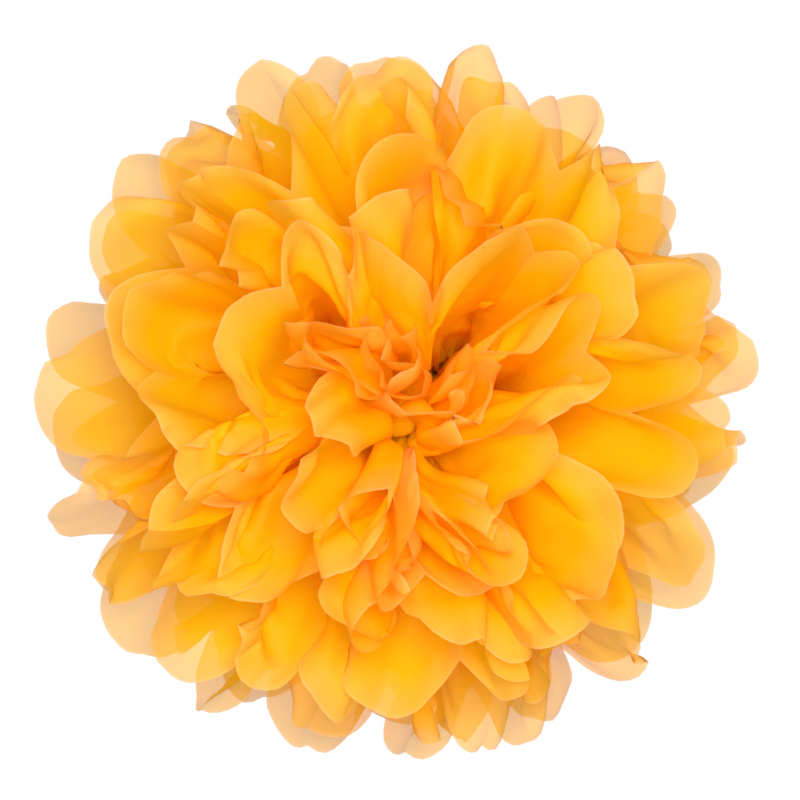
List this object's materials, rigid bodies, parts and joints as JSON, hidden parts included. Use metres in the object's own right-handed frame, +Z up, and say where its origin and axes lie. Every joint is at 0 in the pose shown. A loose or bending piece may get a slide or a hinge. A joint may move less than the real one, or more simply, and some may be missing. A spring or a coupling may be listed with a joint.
{
  "type": "tissue paper pom pom",
  "caption": "Ball of pleated tissue paper sheets, gripped at the middle by a twisted wire tie, with their round-cut ends pulled apart into overlapping petals.",
  "frame": {"origin": "middle of the tie that grips all the sheets, which is the middle of the ball", "axes": "+Z runs up along the twisted tail of the tie, which is the side the ball is hung from; the poles of the ball, where the sheets close up, lie on the Y axis, and -Y is the front; each sheet runs through the tie along X"},
  "size_m": [0.2461, 0.2481, 0.253],
  "materials": {
    "tissue_paper": "matt, thin enough for light to pass through",
    "plain_wire": "thin bright wire"
  },
  "bodies": {
    "root": {"sheet_01": "tissue_paper", "sheet_02": "tissue_paper", "sheet_03": "tissue_paper", "sheet_04": "tissue_paper", "sheet_05": "tissue_paper", "sheet_06": "tissue_paper", "sheet_07": "tissue_paper", "sheet_08": "tissue_paper", "sheet_09": "tissue_paper", "sheet_10": "tissue_paper", "tie_wire": "plain_wire"}
  },
  "joints": []
}
